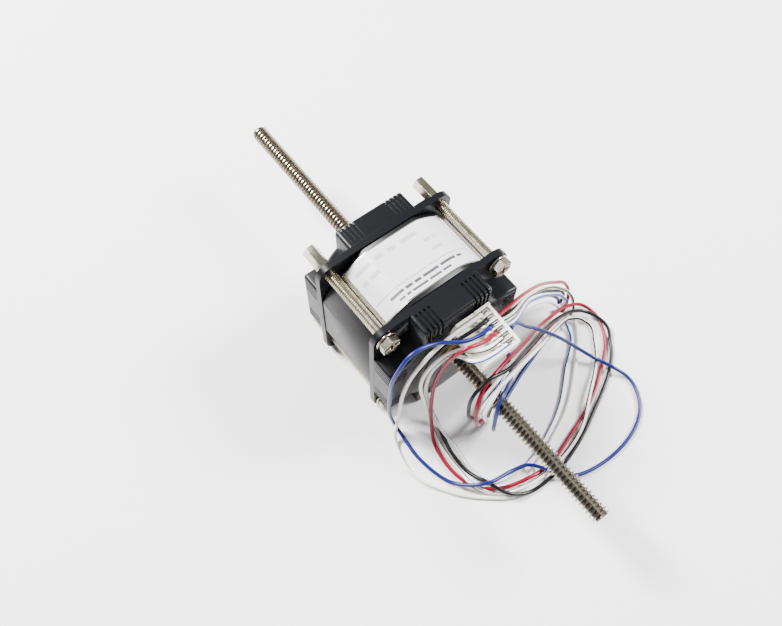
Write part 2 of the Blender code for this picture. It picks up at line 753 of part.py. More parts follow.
# Each lead from the grommet to its slot in the housing: its circuit, then its route as
# x, y and the height from the screw's axis, in millimetres.
LEADS = {
    "red_lead": (3, [
        (11, -25.8, 15.5), (12.3, -28.6, 15.4), (17, -28.3, 14), (29, -25.8, 8.5),
        (53, -23, -10.5), (59, -24, -16), (61, -25.5, -21), (60, -27.5, -25), (55, -30, -26),
        (49, -32, -25), (33, -34, -26), (16, -38, -25.5), (8, -41, -24), (0, -45, -21),
        (-4.8, -47.3, -17), (-8, -48, -9), (-7.5, -46, 0), (-2.5, -43.3, 4.4), (7, -40.8, 3.5),
        (24, -36.3, -5.3), (43, -31.3, -17), (57, -30.9, -21.8), (62, -32.3, -24.5),
        (65.3, -37, -27.3), (63.5, -44, -27.5), (46, -59.5, -27.5), (22.5, -69, -27.5),
        (5, -72.5, -27), (-1, -71.7, -25.8), (-10.5, -68.5, -27.5), (-18, -62.5, -27.5),
        (-20.8, -54, -27.5), (-19.9, -42, -27), (-17, -35.3, -19), (-13, -30.3, -6),
        (-9.5, -30.5, 10), (-8, -32.3, 18), (-4.5, -33.8, 22),
    ]),
    "black_lead": (1, [
        (11, -25.8, 13.5), (12.3, -28.4, 12.3), (18, -28, 8.5), (40, -24, -4), (52, -24.5, -14),
        (57.5, -25.5, -19.5), (58.5, -26, -24), (56, -26.7, -27.4), (33, -35, -27.5),
        (16, -40, -26.2), (3, -43, -24.3), (-5, -44.5, -17), (-9, -44.5, -6), (-7, -43, 3),
        (0, -42.5, 6.7), (7, -43, 4.8), (24, -38.8, -4.8), (43, -33.7, -16), (50.5, -33, -19.8),
        (57, -33.3, -23), (61.5, -35.3, -25.2), (64, -40, -25.7), (64.5, -45.5, -26),
        (61.3, -51, -27.5), (35, -68, -27.5), (21.5, -73.3, -27.5), (6, -76.3, -27.5),
        (-4, -75.5, -27.3), (-10.3, -72.3, -25.1), (-14.5, -64, -24.5), (-17, -56, -26.7),
        (-16.9, -48, -27), (-13.7, -35, -26), (-14, -29, -17), (-13.5, -26, -1),
        (-10.5, -25.8, 10), (-7, -26.7, 14.5), (-4.3, -29.1, 20.2),
    ]),
    "white_lead": (0, [
        (9, -25.8, 13.5), (11.5, -30, 13), (17, -30, 10), (34, -27.5, -1.5), (44, -27, -10),
        (50, -28, -17), (52.3, -29.9, -22.5), (49, -30.2, -25.3), (42, -30.5, -26),
        (28, -34, -27.5), (14, -38, -27.5), (6, -44, -27), (0, -48, -21.5), (-3.7, -47, -11),
        (-4.6, -46.3, -2), (-3.3, -45.5, 3.4), (0, -44.8, 4.8), (7, -42.5, 2.3), (24, -37.7, -7),
        (43, -32.8, -18.7), (52, -31.5, -22.9), (55, -33.4, -25.4), (56.3, -36.3, -27.3),
        (54, -40, -27.5), (42.5, -50.5, -27.5), (29.5, -60, -27.5), (14, -66.7, -27.5),
        (5, -69.5, -27.5), (-2, -71.8, -27.5), (-9, -73, -27.5), (-17, -68, -27.5),
        (-26.5, -58, -27.5), (-33, -44, -27.5), (-30, -31, -26), (-26, -27.7, -18.5),
        (-23, -26, -3), (-17.5, -26.5, 12), (-8, -27.2, 20.7),
    ]),
    "white_black_lead": (4, [
        (9, -25.8, 15.5), (10, -29.5, 15.3), (15, -30.5, 14), (34, -26, 3.5), (54, -25, -13),
        (59.5, -27, -20), (61, -29, -24), (59, -32, -27), (52.5, -33.5, -27.5), (40, -35.6, -25.2),
        (11, -42, -24), (3, -46, -21.5), (-2, -49, -14), (-6, -49, 1), (-3, -48.2, 6),
        (1, -46.8, 7.2), (7, -45.5, 5.2), (34, -39, -10.8), (43, -36.3, -17.3),
        (54.5, -34.8, -24.2), (58.5, -36.5, -26.3), (60.3, -40, -27.5), (56, -48, -27.5),
        (36.5, -63.5, -25.6), (29, -68.7, -26.3), (9, -73.9, -27.5), (-6, -72.8, -25.6),
        (-13, -69.6, -26.9), (-18.6, -61.5, -25.7), (-18.9, -54, -27.4), (-18.4, -43.5, -27.5),
        (-17, -36.5, -25.5), (-16.5, -31.5, -15), (-16.5, -27.5, 0), (-12, -28, 10.5),
        (-8, -29.4, 15), (-5, -32.5, 19.2), (-2.8, -35.5, 20.4),
    ]),
    "white_blue_lead": (5, [
        (7, -25.8, 15.5), (9, -31, 14.5), (15, -32.5, 12.5), (34, -27, 1.5), (46, -26, -8.5),
        (54, -27.5, -16), (56, -29, -21), (53.3, -28.1, -23.7), (49, -27.7, -23),
        (44.5, -30, -23.3), (16, -38, -23), (5, -43, -21), (-2, -45.5, -17.5), (-6, -46, -9),
        (-6.3, -47.3, -1), (-3.5, -47.3, 3.7), (0, -46.5, 4.6), (7, -44.8, 3), (24, -40.5, -6.3),
        (43, -35, -19), (47.5, -34, -22), (52, -34.4, -25.4), (51.8, -37.4, -27.4),
        (38.5, -49.5, -27.5), (27, -58.3, -27.5), (15.5, -63.8, -27.5), (5, -67, -27.5),
        (-5, -67, -27.5), (-13, -64, -27.5), (-15.1, -57, -27.5), (-14.7, -46, -25.8),
        (-15, -37, -23), (-14.5, -30.5, -16), (-14.5, -28, -3.5), (-11, -28, 7), (-6.5, -30, 12.5),
        (-5.5, -34, 17), (-4.6, -38, 19.6),
    ]),
    "blue_lead": (2, [
        (7, -25.8, 13.5), (7.5, -30, 12.3), (18, -31, 5.5), (34, -25.5, -3), (53, -26, -18),
        (55.6, -26.6, -23.8), (49.5, -31, -27.3), (21, -41, -27.5), (6.5, -46.5, -25.5),
        (-3, -52.5, -15), (-5, -53, -2), (-1.5, -50, 4.5), (4, -47.6, 3.5), (11, -43.5, -3),
        (14, -39.5, -4.5), (16.5, -34.5, 3.5), (20, -32, 5.5), (28, -33.2, -2), (38, -39.5, -11.5),
        (51, -54, -25.2), (53.5, -60, -25.3), (56, -66.5, -27.3), (53.5, -73.5, -27.5),
        (27, -84, -27.5), (8, -77.5, -25.4), (5, -72.5, -24.8), (1.5, -68, -25.5),
        (-4, -66.3, -25.3), (-15.5, -64.5, -22.5), (-23.5, -56.5, -27), (-27.5, -42, -27.5),
        (-27, -28.7, -26), (-28.2, -26.4, -18), (-29, -26, 1), (-26.5, -26, 18.5),
        (-20.5, -25.7, 24.5), (-11, -27, 23), (-3.5, -31.2, 21.8),
    ]),
}

LEAD_COLOURS = {
    "red_lead": (0.62, 0.04, 0.06),
    "black_lead": (0.02, 0.02, 0.02),
    "white_lead": (0.82, 0.81, 0.77),
    "white_black_lead": (0.8, 0.79, 0.75),
    "white_blue_lead": (0.79, 0.8, 0.78),
    "blue_lead": (0.05, 0.09, 0.4),
}


def slot_point(number, along, frame_matrix):
    """Where a circuit's wire lies in its slot, from the screw's axis, in millimetres."""
    point = frame_matrix @ Vector((mm(along), mm(circuit_y(number)), mm(WIRE_IN_SLOT)))
    x, y, z = point * 1000.0
    return Vector((x, y, z - AXIS_HEIGHT))


def headings_along(points):
    """The curve's direction at each point; it leaves the grommet straight out of the bell."""
    headings = [Vector((0.0, -1.0, 0.0))]
    for before, here, after in zip(points, points[1:], points[2:]):
        arriving = here - before
        leaving = after - here
        mixed = arriving.normalized() * leaving.length + leaving.normalized() * arriving.length
        headings.append(mixed.normalized())
    headings.append((points[-1] - points[-2]).normalized())
    return headings


def smooth_route(points):
    """Points on one smooth curve through the route's points, closer together in the bends."""
    headings = headings_along(points)
    smoothed = []
    for start, end, leave, arrive in zip(points, points[1:], headings, headings[1:]):
        length = (end - start).length
        turn = math.degrees(leave.angle(arrive))
        count = max(1, round(length / 10.0 + turn / 32.0))
        reach = length / 3.0
        span = interpolate_bezier(start, start + leave * reach, end - arrive * reach, end,
                                  count + 1)
        smoothed += span[:-1]
    smoothed.append(points[-1])
    return smoothed


def make_lead(name, points):
    """A round insulated wire, no lower than the surface that the motor stands on."""
    curve = bpy.data.curves.new(name, "CURVE")
    curve.dimensions = "3D"
    curve.bevel_depth = mm(WIRE_DIAMETER / 2.0)
    curve.bevel_resolution = 2
    curve.use_fill_caps = True
    lowest = WIRE_DIAMETER / 2.0 + 0.05
    points = smooth_route(points)
    spline = curve.splines.new("POLY")
    spline.points.add(len(points) - 1)
    for target, (x, y, z) in zip(spline.points, points):
        target.co = (mm(x), mm(y), mm(max(z + AXIS_HEIGHT, lowest)), 1.0)
    lead = bpy.data.objects.new(name, curve)
    PARTS.objects.link(lead)
    curve.materials.append(material(name + "_pvc", LEAD_COLOURS[name], 0.4, 0.0))


def make_leads(frame):
    bpy.context.view_layer.update()
    frame_matrix = frame.matrix_world.copy()
    for name, (number, route) in LEADS.items():
        points = [Vector(point) for point in route]
        points.append(slot_point(number, SLOT_ENTRY, frame_matrix))
        points.append(slot_point(number, WIRE_END, frame_matrix))
        make_lead(name, points)


make_bells()
make_shell()
make_label()
make_bolts()
make_stator()
make_coils()
make_rotor()
make_bearings()
make_wave_washer()
make_lead_screw()
make_bush_and_seal()
make_grommet()
connector_frame = new_connector_frame()
make_connector(connector_frame)
make_leads(connector_frame)
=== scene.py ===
"""Size-23 stepper motor with a lead screw, six folded leads and a six-way connector.

Lengths are in millimetres until `mm` turns them into metres. Heights in the tables are
measured from the screw's axis, which lies along Y.
"""
import math

import bmesh
import bpy
from mathutils import Matrix, Vector
from mathutils.geometry import interpolate_bezier


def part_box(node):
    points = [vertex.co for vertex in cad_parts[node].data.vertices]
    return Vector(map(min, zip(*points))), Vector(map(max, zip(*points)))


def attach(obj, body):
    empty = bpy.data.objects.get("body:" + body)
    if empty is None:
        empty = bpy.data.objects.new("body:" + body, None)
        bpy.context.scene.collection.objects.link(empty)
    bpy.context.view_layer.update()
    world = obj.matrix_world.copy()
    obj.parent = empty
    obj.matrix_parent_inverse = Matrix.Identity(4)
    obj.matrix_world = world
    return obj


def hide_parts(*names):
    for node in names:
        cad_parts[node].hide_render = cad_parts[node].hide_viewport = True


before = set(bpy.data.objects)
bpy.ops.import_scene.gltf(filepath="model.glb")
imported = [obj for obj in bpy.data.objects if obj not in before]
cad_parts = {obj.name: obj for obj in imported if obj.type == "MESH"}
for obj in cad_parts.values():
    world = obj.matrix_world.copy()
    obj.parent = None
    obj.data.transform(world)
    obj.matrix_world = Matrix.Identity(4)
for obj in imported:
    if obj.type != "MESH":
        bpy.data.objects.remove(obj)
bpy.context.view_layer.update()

AXIS_HEIGHT = 28.2
WIRE_DIAMETER = 1.4
CONNECTOR_CORNER = (-3.5, -25.6, 22.8)
CONNECTOR_TILT_DEG = 6.5
CIRCUIT_PITCH = 2.54
CIRCUIT_START = 1.85
WIRE_IN_SLOT = -1.2
SLOT_ENTRY = 5.5
WIRE_END = 11.3
BOLT_SPACING = 47.14
WIRE_SIDES = 16
STRIPE_SIDES = 3
STRIPE_DEG = 58.0

SCREW_RADIUS = 3.175
SCREW_PITCH = 1.5875
SCREW_THREAD_DEPTH = 0.92
SCREW_HALF_LENGTH = 98.4
SCREW_CHAMFER = 0.8
KEYWAY_HALF_WIDTH = 0.8
KEYWAY_FLOOR = 2.075
KEYWAY_END = 5.0

BOLT_RADIUS = 2.08
BOLT_PITCH = 0.794
BOLT_THREAD_DEPTH = 0.48
BOLT_THREAD_HALF_LENGTH = 15.4

BARREL_FLAT = 28.44
BARREL_RADIUS = 30.24
FILM_THICKNESS = 0.06

FLANGE_HALF = 28.2
FLANGE_CORNER = 5.0
FLANGE_INNER = 13.6
FLANGE_OUTER = 16.0
BAR_HALF_WIDTH = 14.1
BAR_CORNER = 1.2
BELL_END = 24.6
CUP_RADIUS = 24.0
RIM_RADIUS = 2.2
RIB_OFFSETS = (7.0, 8.7, 10.4, 12.1)
GROOVE_HALF_WIDTH = 0.38

# Points closer than this, in metres, are one point; faces within this angle are one face.
SAME_POINT = 0.000002
SAME_PLANE_DEG = 0.6


def mm(value):
    """Millimetres to metres."""
    return value * 0.001


def up(height):
    """A height from the screw's axis, as metres above the floor."""
    return mm(height + AXIS_HEIGHT)


# ---- camera ----

def make_camera():
    """A camera at `place`, turned by azimuth, elevation and a slight roll."""
    place = (-0.09236, -0.10185, 0.2771)
    azimuth = math.radians(-39.527)
    elevation = math.radians(62.048)
    roll = math.radians(1.949)
    back = Vector((math.sin(azimuth) * math.cos(elevation),
                   -math.cos(azimuth) * math.cos(elevation), math.sin(elevation)))
    right = Vector((math.cos(azimuth), math.sin(azimuth), 0.0))
    above = back.cross(right)
    rolled_right = right * math.cos(roll) + above * math.sin(roll)
    rolled_up = above * math.cos(roll) - right * math.sin(roll)
    data = bpy.data.cameras.new("camera")
    data.sensor_width = 36.0
    data.lens = 36.27
    data.clip_start = 0.01
    camera = bpy.data.objects.new("camera", data)
    bpy.context.scene.collection.objects.link(camera)
    turn = Matrix((rolled_right, rolled_up, back)).transposed().to_4x4()
    camera.matrix_world = Matrix.Translation(place) @ turn
    bpy.context.scene.camera = camera


# ---- materials ----

def material(name, colour, roughness, metallic=0.0, bump=0.0, scale=500.0, spread=0.0,
             coat=0.0, subsurface=0.0, specular=0.5):
    """Noise at `scale` gives a fine bump and varies the roughness by `spread`."""
    made = bpy.data.materials.new(name)
    made.use_nodes = True
    tree = made.node_tree
    shader = tree.nodes["Principled BSDF"]
    shader.inputs["Base Color"].default_value = (*colour, 1.0)
    shader.inputs["Roughness"].default_value = roughness
    shader.inputs["Metallic"].default_value = metallic
    shader.inputs["Specular IOR Level"].default_value = specular
    if coat:
        shader.inputs["Coat Weight"].default_value = coat
        shader.inputs["Coat Roughness"].default_value = 0.15
    if subsurface:
        shader.inputs["Subsurface Weight"].default_value = subsurface
        shader.inputs["Subsurface Radius"].default_value = (0.0015, 0.0014, 0.0012)
    if bump or spread:
        place = tree.nodes.new("ShaderNodeTexCoord")
        noise = tree.nodes.new("ShaderNodeTexNoise")
        noise.inputs["Scale"].default_value = scale
        noise.inputs["Detail"].default_value = 4.0
        tree.links.new(place.outputs["Object"], noise.inputs["Vector"])
    if bump:
        bumps = tree.nodes.new("ShaderNodeBump")
        bumps.inputs["Strength"].default_value = bump
        bumps.inputs["Distance"].default_value = 0.0001
        tree.links.new(noise.outputs["Fac"], bumps.inputs["Height"])
        tree.links.new(bumps.outputs["Normal"], shader.inputs["Normal"])
    if spread:
        ramp = tree.nodes.new("ShaderNodeMapRange")
        ramp.inputs["To Min"].default_value = roughness - spread
        ramp.inputs["To Max"].default_value = roughness + spread
        tree.links.new(noise.outputs["Fac"], ramp.inputs["Value"])
        tree.links.new(ramp.outputs["Result"], shader.inputs["Roughness"])
    return made


CASTING = material("casting_black", (0.003, 0.0035, 0.0045), 0.34, bump=0.2,
                   scale=1400.0, spread=0.06, specular=0.22)
BARREL = material("barrel_charcoal", (0.005, 0.005, 0.0055), 0.36, bump=0.12,
                  scale=900.0, spread=0.06, specular=0.25)
ZINC = material("zinc_plate", (0.5, 0.46, 0.36), 0.22, 1.0, scale=700.0, spread=0.08)
# Painted shade: a dark colour on the thread roots of the screw and the bolts, standing in for the
# shade that falls in the hollows of the thread.
PAINTED_ROOT_SHADE = material("painted_root_shade", (0.035, 0.03, 0.022), 0.5, 0.6)
THREAD = material("screw_steel", (0.28, 0.25, 0.2), 0.27, 1.0, scale=500.0, spread=0.08)
STEEL = material("bearing_steel", (0.5, 0.5, 0.5), 0.3, 1.0)
LAMINATION = material("lamination_steel", (0.35, 0.35, 0.36), 0.45, 1.0)
MAGNET = material("magnet_grey", (0.12, 0.12, 0.13), 0.4, 0.6)
BRONZE = material("bronze", (0.6, 0.38, 0.17), 0.35, 1.0)
COPPER = material("copper_winding", (0.72, 0.33, 0.18), 0.35, 1.0)
RUBBER = material("rubber_black", (0.02, 0.02, 0.02), 0.75)
NYLON = material("natural_nylon", (0.8, 0.77, 0.68), 0.36, scale=600.0, spread=0.06,
                 subsurface=0.25)
TIN = material("tin_plate", (0.72, 0.71, 0.68), 0.3, 1.0)
FOIL = material("label_foil", (0.72, 0.7, 0.62), 0.25, 1.0, scale=300.0, spread=0.05)
PANEL = material("label_white", (0.66, 0.665, 0.665), 0.32, scale=200.0, spread=0.04,
                 coat=0.3)
PRINT_DARK = material("print_dark", (0.05, 0.05, 0.06), 0.5)
PRINT_GREY = material("print_grey", (0.42, 0.42, 0.43), 0.5)


def wire_finish(name, colour):
    return material(name, colour, 0.3, scale=400.0, spread=0.05, specular=0.35)


WIRE_RED = wire_finish("wire_red", (0.22, 0.0, 0.016))
WIRE_BLACK = wire_finish("wire_black", (0.003, 0.003, 0.0035))
WIRE_WHITE = wire_finish("wire_white", (0.86, 0.84, 0.8))
WIRE_BLUE = wire_finish("wire_blue", (0.006, 0.01, 0.115))
STRIPE_BLACK = wire_finish("stripe_black", (0.006, 0.005, 0.006))
STRIPE_BLUE = wire_finish("stripe_blue", (0.0, 0.05, 0.36))


# ---- pieces ----

def new_object(name, mesh, finishes, body="motor", replaced=()):
    """A piece that rides on `body` and stands for the replaced nodes."""
    obj = bpy.data.objects.new(name, mesh)
    bpy.context.scene.collection.objects.link(obj)
    if mesh.materials:
        mesh.materials.clear()
    for finish in finishes:
        mesh.materials.append(finish)
    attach(obj, body)
    if replaced:
        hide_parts(*replaced)
    return obj


def bmesh_to_mesh(bm, name):
    mesh = bpy.data.meshes.new(name)
    bm.to_mesh(mesh)
    bm.free()
    return mesh


def node_copy(node):
    """An editable copy of a CAD solid, with its doubled points merged."""
    bm = bmesh.new()
    bm.from_mesh(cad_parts[node].data)
    bmesh.ops.remove_doubles(bm, verts=bm.verts, dist=SAME_POINT)
    return bm


def merge_flat_faces(bm):
    bmesh.ops.dissolve_limit(bm, angle_limit=math.radians(SAME_PLANE_DEG), verts=bm.verts,
                             edges=bm.edges)


def round_edges(piece, width):
    """Rounds the sharp edges, and gives the modifier back."""
    edge = piece.modifiers.new("edge", "BEVEL")
    edge.width = mm(width)
    edge.segments = 2
    edge.limit_method = "ANGLE"
    edge.angle_limit = math.radians(30.0)
    return edge


# ---- leads ----

# Each lead from the grommet to its slot in the housing: its circuit, then its route as
# x, y and the height from the screw's axis.
LEADS = {
    "red_lead": (3, [
        (11, -25.8, 15.5), (12.3, -28.6, 15.4), (17, -28.3, 14), (29, -25.8, 8.5),
        (53, -23, -10.5), (59, -24, -16), (61, -25.5, -21), (60, -27.5, -25), (55, -30, -26),
        (49, -32, -25), (33, -34, -26), (16, -38, -25.5), (8, -41, -24), (0, -45, -21),
        (-4.8, -47.3, -17), (-8, -48, -9), (-7.5, -46, 0), (-2.5, -43.3, 4.4), (7, -40.8, 3.5),
        (24, -36.3, -5.3), (43, -31.3, -17), (57, -30.9, -21.8), (62, -32.3, -24.5),
        (65.3, -37, -27.3), (63.5, -44, -27.5), (46, -59.5, -27.5), (22.5, -69, -27.5),
        (5, -72.5, -27), (-1, -71.7, -25.8), (-10.5, -68.5, -27.5), (-18, -62.5, -27.5),
        (-20.8, -54, -27.5), (-19.9, -42, -27), (-17, -35.3, -19), (-13, -30.3, -6),
        (-9.5, -30.5, 10), (-8, -32.3, 18), (-4.5, -33.8, 22),
    ]),
    "black_lead": (1, [
        (11, -25.8, 13.5), (12.3, -28.4, 12.3), (18, -28, 8.5), (40, -24, -4), (52, -24.5, -14),
        (57.5, -25.5, -19.5), (58.5, -26, -24), (56, -26.7, -27.4), (33, -35, -27.5),
        (16, -40, -26.2), (3, -43, -24.3), (-5, -44.5, -17), (-9, -44.5, -6), (-7, -43, 3),
        (0, -42.5, 6.7), (7, -43, 4.8), (24, -38.8, -4.8), (43, -33.7, -16), (50.5, -33, -19.8),
        (57, -33.3, -23), (61.5, -35.3, -25.2), (64, -40, -25.7), (64.5, -45.5, -26),
        (61.3, -51, -27.5), (35, -68, -27.5), (21.5, -73.3, -27.5), (6, -76.3, -27.5),
        (-4, -75.5, -27.3), (-10.3, -72.3, -25.1), (-14.5, -64, -24.5), (-17, -56, -26.7),
        (-16.9, -48, -27), (-13.7, -35, -26), (-14, -29, -17), (-13.5, -26, -1),
        (-10.5, -25.8, 10), (-7, -26.7, 14.5), (-4.3, -29.1, 20.2),
    ]),
    "white_lead": (0, [
        (9, -25.8, 13.5), (11.5, -30, 13), (17, -30, 10), (34, -27.5, -1.5), (44, -27, -10),
        (50, -28, -17), (52.3, -29.9, -22.5), (49, -30.2, -25.3), (42, -30.5, -26),
        (28, -34, -27.5), (14, -38, -27.5), (6, -44, -27), (0, -48, -21.5), (-3.7, -47, -11),
        (-4.6, -46.3, -2), (-3.3, -45.5, 3.4), (0, -44.8, 4.8), (7, -42.5, 2.3), (24, -37.7, -7),
        (43, -32.8, -18.7), (52, -31.5, -22.9), (55, -33.4, -25.4), (56.3, -36.3, -27.3),
        (54, -40, -27.5), (42.5, -50.5, -27.5), (29.5, -60, -27.5), (14, -66.7, -27.5),
        (5, -69.5, -27.5), (-2, -71.8, -27.5), (-9, -73, -27.5), (-17, -68, -27.5),
        (-26.5, -58, -27.5), (-33, -44, -27.5), (-30, -31, -26), (-26, -27.7, -18.5),
        (-23, -26, -3), (-17.5, -26.5, 12), (-8, -27.2, 20.7),
    ]),
    "white_black_lead": (4, [
        (9, -25.8, 15.5), (10, -29.5, 15.3), (15, -30.5, 14), (34, -26, 3.5), (54, -25, -13),
        (59.5, -27, -20), (61, -29, -24), (59, -32, -27), (52.5, -33.5, -27.5), (40, -35.6, -25.2),
        (11, -42, -24), (3, -46, -21.5), (-2, -49, -14), (-6, -49, 1), (-3, -48.2, 6),
        (1, -46.8, 7.2), (7, -45.5, 5.2), (34, -39, -10.8), (43, -36.3, -17.3),
        (54.5, -34.8, -24.2), (58.5, -36.5, -26.3), (60.3, -40, -27.5), (56, -48, -27.5),
        (36.5, -63.5, -25.6), (29, -68.7, -26.3), (9, -73.9, -27.5), (-6, -72.8, -25.6),
        (-13, -69.6, -26.9), (-18.6, -61.5, -25.7), (-18.9, -54, -27.4), (-18.4, -43.5, -27.5),
        (-17, -36.5, -25.5), (-16.5, -31.5, -15), (-16.5, -27.5, 0), (-12, -28, 10.5),
        (-8, -29.4, 15), (-5, -32.5, 19.2), (-2.8, -35.5, 20.4),
    ]),
    "white_blue_lead": (5, [
        (7, -25.8, 15.5), (9, -31, 14.5), (15, -32.5, 12.5), (34, -27, 1.5), (46, -26, -8.5),
        (54, -27.5, -16), (56, -29, -21), (53.3, -28.1, -23.7), (49, -27.7, -23),
        (44.5, -30, -23.3), (16, -38, -23), (5, -43, -21), (-2, -45.5, -17.5), (-6, -46, -9),
        (-6.3, -47.3, -1), (-3.5, -47.3, 3.7), (0, -46.5, 4.6), (7, -44.8, 3), (24, -40.5, -6.3),
        (43, -35, -19), (47.5, -34, -22), (52, -34.4, -25.4), (51.8, -37.4, -27.4),
        (38.5, -49.5, -27.5), (27, -58.3, -27.5), (15.5, -63.8, -27.5), (5, -67, -27.5),
        (-5, -67, -27.5), (-13, -64, -27.5), (-15.1, -57, -27.5), (-14.7, -46, -25.8),
        (-15, -37, -23), (-14.5, -30.5, -16), (-14.5, -28, -3.5), (-11, -28, 7), (-6.5, -30, 12.5),
        (-5.5, -34, 17), (-4.6, -38, 19.6),
    ]),
    "blue_lead": (2, [
        (7, -25.8, 13.5), (7.5, -30, 12.3), (18, -31, 5.5), (34, -25.5, -3), (53, -26, -18),
        (55.6, -26.6, -23.8), (49.5, -31, -27.3), (21, -41, -27.5), (6.5, -46.5, -25.5),
        (-3, -52.5, -15), (-5, -53, -2), (-1.5, -50, 4.5), (4, -47.6, 3.5), (11, -43.5, -3),
        (14, -39.5, -4.5), (16.5, -34.5, 3.5), (20, -32, 5.5), (28, -33.2, -2), (38, -39.5, -11.5),
        (51, -54, -25.2), (53.5, -60, -25.3), (56, -66.5, -27.3), (53.5, -73.5, -27.5),
        (27, -84, -27.5), (8, -77.5, -25.4), (5, -72.5, -24.8), (1.5, -68, -25.5),
        (-4, -66.3, -25.3), (-15.5, -64.5, -22.5), (-23.5, -56.5, -27), (-27.5, -42, -27.5),
        (-27, -28.7, -26), (-28.2, -26.4, -18), (-29, -26, 1), (-26.5, -26, 18.5),
        (-20.5, -25.7, 24.5), (-11, -27, 23), (-3.5, -31.2, 21.8),
    ]),
}


LEAD_FINISHES = {
    "red_lead": (WIRE_RED, WIRE_RED),
    "black_lead": (WIRE_BLACK, WIRE_BLACK),
    "white_lead": (WIRE_WHITE, WIRE_WHITE),
    "white_black_lead": (WIRE_WHITE, STRIPE_BLACK),
    "white_blue_lead": (WIRE_WHITE, STRIPE_BLUE),
    "blue_lead": (WIRE_BLUE, WIRE_BLUE),
}


def slot_point(number, along):
    """Where a circuit's wire lies in its slot."""
    tilt = math.radians(CONNECTOR_TILT_DEG)
    row = CIRCUIT_START + CIRCUIT_PITCH * number
    x, y, z = CONNECTOR_CORNER
    return Vector((x + along,
                   y - row * math.cos(tilt) - WIRE_IN_SLOT * math.sin(tilt),
                   z - row * math.sin(tilt) + WIRE_IN_SLOT * math.cos(tilt)))


def headings_along(points):
    """The curve's direction at each point; it leaves the grommet straight out of the bell."""
    headings = [Vector((0.0, -1.0, 0.0))]
    for before, here, after in zip(points, points[1:], points[2:]):
        arriving = here - before
        leaving = after - here
        mixed = arriving.normalized() * leaving.length + leaving.normalized() * arriving.length
        headings.append(mixed.normalized())
    headings.append((points[-1] - points[-2]).normalized())
    return headings


def lead_path(number, route):
    """The lead's centre line in metres, one smooth curve, a point about every millimetre."""
    points = [Vector(point) for point in route]
    points.append(slot_point(number, SLOT_ENTRY))
    points.append(slot_point(number, WIRE_END))
    headings = headings_along(points)
    path = []
    for start, end, leave, arrive in zip(points, points[1:], headings, headings[1:]):
        length = (end - start).length
        count = max(2, round(length / 1.2))
        reach = length / 3.0
        path += interpolate_bezier(start, start + leave * reach, end - arrive * reach, end,
                                   count + 1)[:-1]
    path.append(points[-1])
    lowest = mm(WIRE_DIAMETER / 2.0 + 0.05)
    return [Vector((mm(x), mm(y), max(up(z), lowest))) for x, y, z in path]


def tube_mesh(name, path, radius, striped):
    """A round tube with closed ends. `striped` neighbouring sides take the second finish,
    and the stripe lies beside the top where the lead lies level."""
    bm = bmesh.new()
    side = Vector((0.0, 0.0, 1.0))
    pull = 0.15
    rings = []
    turn = math.radians(STRIPE_DEG) - math.pi * striped / WIRE_SIDES
    for i, here in enumerate(path):
        ahead = path[min(i + 1, len(path) - 1)] - path[max(i - 1, 0)]
        ahead.normalize()
        side = (side - ahead * side.dot(ahead)).normalized()
        top = Vector((0.0, 0.0, 1.0)) - ahead * ahead.z
        side = (side + top * pull).normalized()
        across = ahead.cross(side)
        ring = []
        for k in range(WIRE_SIDES):
            angle = 2.0 * math.pi * k / WIRE_SIDES + turn
            ring.append(bm.verts.new(here + (side * math.cos(angle)
                                             + across * math.sin(angle)) * radius))
        rings.append(ring)
    for ring, following in zip(rings, rings[1:]):
        for k in range(WIRE_SIDES):
            j = (k + 1) % WIRE_SIDES
            face = bm.faces.new((ring[k], ring[j], following[j], following[k]))
            face.smooth = True
            if k < striped:
                face.material_index = 1
    bm.faces.new(rings[0][::-1])
    bm.faces.new(rings[-1])
    return bmesh_to_mesh(bm, name)


def make_leads():
    """Each lead's piece and centre line, by name."""
    pieces = {}
    for name, (number, route) in LEADS.items():
        path = lead_path(number, route)
        base, stripe = LEAD_FINISHES[name]
        striped = STRIPE_SIDES if stripe is not base else 0
        mesh = tube_mesh(name, path, mm(WIRE_DIAMETER / 2.0), striped)
        piece = new_object(name + "_wire", mesh, [base, stripe], "motor", [name])
        pieces[name] = (piece, path)
    return pieces


# ---- fine copies of the solids ----

def refined(node, finish, width):
    """The node's own shape with its edges rounded by `width`."""
    bm = node_copy(node)
    merge_flat_faces(bm)
    for face in bm.faces:
        face.smooth = True
    piece = new_object(node + "_fine", bmesh_to_mesh(bm, node + "_fine"), [finish], "motor", [node])
    round_edges(piece, width).harden_normals = True
    return piece


# ---- threads ----

